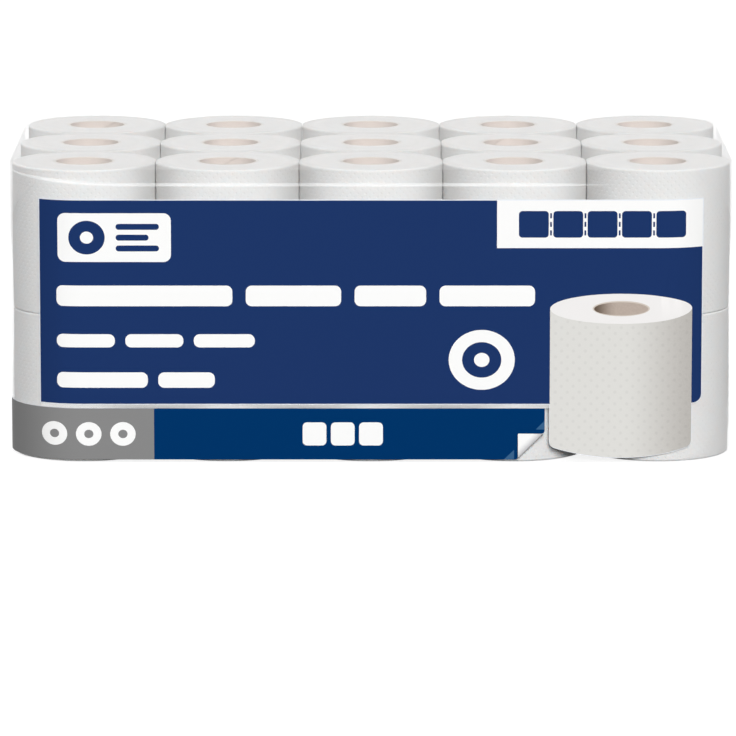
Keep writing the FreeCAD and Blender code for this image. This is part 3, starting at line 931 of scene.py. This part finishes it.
label_mesh = bent_sheet(
    "front_label_sheet",
    "front",
    label_outline(),
    label_shapes,
    corner_cuts(film_axis_x),
    sheet_back,
    sheet_front,
)
roll_shade = (0.168, 0.217)
hole_shade = (0.147, 0.166)
paper_print = make_print("label_paper", ink(238, 242, 248))
white_print = make_print("label_white", ink(252, 252, 251))
for material in (
    paper_print,
    make_print("label_navy", ink(29, 53, 102)),
    white_print,
    make_print("label_roll", ink(223, 222, 218), ink(184, 180, 175), roll_shade, dot_pitch=8 * mm),
    make_print("label_roll_top", ink(241, 239, 238)),
    make_print("label_roll_hole", ink(84, 68, 52), ink(196, 181, 170), hole_shade),
    make_print("label_roll_core", ink(214, 204, 194)),
):
    label_mesh.materials.append(material)
label = add_piece(label_mesh)
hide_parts("front_label")
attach(label, "root")

# Lower band. A second, narrow sheet stuck on under the label and round the left corner,
# with a grey and a dark blue field. Its lower right corner has come loose and curls up
# over its face, so that the white back of the paper shows.
band_right = 116.9
band_low = 2.0
band_high = 37.0
band_back = 0.4 * mm
band_front = 0.65 * mm
curl_legs = 20.5
curl_turn_radius = 1.12 * mm
curl_reach_share = 0.985
curl_slope = 0.02
# how far from the fold the painted shade on the curl's back begins
curl_shade_start = 6 * mm
band_left_end = -(film_axis_x + film_reach) / mm
fold_low = (band_right - curl_legs, band_low)
fold_high = (band_right, band_low + curl_legs)
band_corners = [(band_left_end, band_low), fold_low, fold_high]
band_corners += [(band_right, band_high), (band_left_end, band_high)]
grey_field, blue_field, band_white, blue_painted_highlight = range(1, 5)
grey_end = -146.0
print_high = band_high - 0.1
blue_outline = [(grey_end, band_low), fold_low, fold_high]
blue_outline += [(band_right, print_high), (grey_end, print_high)]
band_shapes = [
    (bar(band_left_end, band_low, grey_end, print_high), grey_field),
    (in_mm(blue_outline), blue_field),
    # two lighter blue triangles beside the ends of the curl: painted highlight of its bend
    (in_mm([(89.5, 2.0), (96.4, 2.0), (96.4, 8.6)]), blue_painted_highlight),
    (in_mm([(110.9, 22.5), (116.9, 22.5), (116.9, 28.6)]), blue_painted_highlight),
]
# three rolls' round ends in the grey field, and a strip of sheets in the blue one
for i in range(3):
    across = -213 + i * 23
    band_shapes.append((oval(across, 19.5, 8.6, 8.1, 40), band_white))
    band_shapes.append((oval(across, 19.5, 3.1, 2.9, 28), grey_field))
for i in range(3):
    left = -46 + i * 19
    band_shapes.append((bar(left, 11.6, left + 16, 27.4, 3), band_white))

band_mesh = bent_sheet(
    "lower_band_sheet",
    "front",
    in_mm(band_corners),
    band_shapes,
    corner_cuts(film_axis_x),
    band_back,
    band_front,
)
band_blue_print = make_print("band_blue", ink(0, 51, 102))
for material in (
    paper_print,
    make_print("band_grey", ink(136, 136, 136)),
    band_blue_print,
    white_print,
    make_print("band_blue_painted_highlight", ink(58, 98, 138)),
):
    band_mesh.materials.append(material)
band = add_piece(band_mesh)
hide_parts("lower_band")
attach(band, "root")


def curl_point(along, past, outer):
    """A place on the curled corner: how far along the fold, how far past it, which face."""
    turn = min(past / curl_turn_radius, math.pi)
    beyond = max(past - math.pi * curl_turn_radius, 0)
    thick = (band_front - band_back) / 2 * (1 if outer else -1)
    inward = beyond - (curl_turn_radius + thick) * math.sin(turn)
    out = curl_turn_radius - (curl_turn_radius + thick) * math.cos(turn)
    out -= curl_slope * beyond
    middle_x, middle_z = (fold_low[0] + fold_high[0]) / 2 * mm, (fold_low[1] + fold_high[1]) / 2 * mm
    x = middle_x + (along - inward) / math.sqrt(2)
    z = middle_z + (along + inward) / math.sqrt(2)
    return x, -(film_axis_y + film_reach + (band_back + band_front) / 2 + out), z


half_fold = curl_legs * mm / math.sqrt(2)
curl_rows, curl_columns = 26, 16
points, faces, numbers = [], [], []
for outer in (True, False):
    for i in range(curl_rows + 1):
        past = half_fold * curl_reach_share * (i / curl_rows)
        for j in range(curl_columns + 1):
            along = (half_fold - past) * (2 * j / curl_columns - 1)
            points.append(curl_point(along, past, outer))
wide = curl_columns + 1
layer_size = (curl_rows + 1) * wide
for i in range(curl_rows):
    for j in range(curl_columns):
        a = i * wide + j
        faces.append((a, a + wide, a + wide + 1, a + 1))
        numbers.append(0)
        b = layer_size + a
        faces.append((b, b + 1, b + wide + 1, b + wide))
        numbers.append(1)
edge = [i * wide for i in range(curl_rows + 1)]
edge += [curl_rows * wide + j for j in range(1, wide)]
edge += [i * wide + curl_columns for i in reversed(range(curl_rows))]
edge += [j for j in reversed(range(1, curl_columns))]
for i, a in enumerate(edge):
    b = edge[(i + 1) % len(edge)]
    faces.append((b, a, layer_size + a, layer_size + b))
    numbers.append(0)
# painted shade: the curl's white back is greyed over its last millimetres towards the fold, standing in
# for the shade of the turn
fold_place = (fold_low[0] - fold_low[1]) * mm
curl_shade = (fold_place - curl_shade_start, fold_place + mm)
curl_paper_painted_shade = make_print("curl_back_painted_shade", ink(252, 252, 251), ink(196, 196, 198), curl_shade, (1, 0, -1))
curl_mesh = new_mesh("lower_band_curl", points, faces, (curl_paper_painted_shade, band_blue_print))
curl_mesh.polygons.foreach_set("material_index", numbers)
smooth(curl_mesh, 60)
curl = add_piece(curl_mesh)
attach(curl, "root")

# Studio. A white floor that keeps the pack's soft shadow, one broad key light from the
# front, a little to the right, weaker ones from above and behind, and a pale surround.
floor_half = 30.0
floor_tone = (0.2, 0.2, 0.2)
floor_shown_tone = (0.3, 0.3, 0.3)
floor_glow = 0.85
surround_light = 0.11
surround_shown = 1.0
ground = Finish("studio_floor", Roughness=1.0, Specular_IOR_Level=0.0, Emission_Color=(1.0, 1.0, 1.0))
seen = ground.add("LightPath", out=0)
mirrored = ground.add("LightPath", out=3)
shown = ground.maths("MAXIMUM", seen, mirrored)
ground_tone = ground.blend(shown, floor_tone, floor_shown_tone)
ground.set(ground.shader, "Base Color", ground_tone)
glow = ground.maths("MULTIPLY", shown, floor_glow)
ground.set(ground.shader, "Emission Strength", glow)
floor_corners = [(-1, -1), (1, -1), (1, 1), (-1, 1)]
floor_points = [(x * floor_half, y * floor_half, 0) for x, y in floor_corners]
floor = add_piece(new_mesh("floor", floor_points, [(0, 1, 2, 3)], (ground.material,)))

world = bpy.data.worlds.new("studio")
world.use_nodes = True
bpy.context.scene.world = world
sky = world.node_tree.nodes["Background"]
sky.inputs["Color"].default_value = (1, 1, 1, 1)
sky_nodes, sky_links = world.node_tree.nodes, world.node_tree.links
ray = sky_nodes.new("ShaderNodeLightPath")
shown_in_sky = sky_nodes.new("ShaderNodeMath")
shown_in_sky.operation = "MAXIMUM"
sky_links.new(ray.outputs["Is Camera Ray"], shown_in_sky.inputs[0])
sky_links.new(ray.outputs["Is Glossy Ray"], shown_in_sky.inputs[1])
strength = sky_nodes.new("ShaderNodeMapRange")
strength.inputs["To Min"].default_value = surround_light
strength.inputs["To Max"].default_value = surround_shown
sky_links.new(shown_in_sky.outputs[0], strength.inputs["Value"])
sky_links.new(strength.outputs[0], sky.inputs["Strength"])


def add_sun(name, azimuth, height, strength, width):
    """A distant soft light: where it stands over the horizon and how wide it is."""
    sun = bpy.data.lights.new(name, "SUN")
    sun.energy = strength
    sun.angle = math.radians(width)
    holder = bpy.data.objects.new(name, sun)
    turn, rise = math.radians(azimuth), math.radians(height)
    level = math.cos(rise)
    away = Vector((math.sin(turn) * level, -math.cos(turn) * level, math.sin(rise)))
    holder.rotation_euler = (-away).to_track_quat("-Z", "Y").to_euler()
    holder.visible_glossy = False
    bpy.context.collection.objects.link(holder)


add_sun("key_light", 5, 25, 2.95, 24)
add_sun("top_light", 0, 85, 0.4, 40)
add_sun("back_right_light", 145, 22, 0.7, 35)
add_sun("back_left_light", -140, 22, 1.45, 35)

camera_place = (-0.002, -4.089, 0.734)
camera_down = 9.64
lens = bpy.data.cameras.new("camera")
lens.sensor_width = 36
lens.lens = 291
lens.clip_end = 60
camera = bpy.data.objects.new("camera", lens)
camera.location = camera_place
camera.rotation_euler = (math.radians(90 - camera_down), 0, 0)
bpy.context.collection.objects.link(camera)
bpy.context.scene.camera = camera
bpy.context.scene.view_settings.view_transform = "Standard"
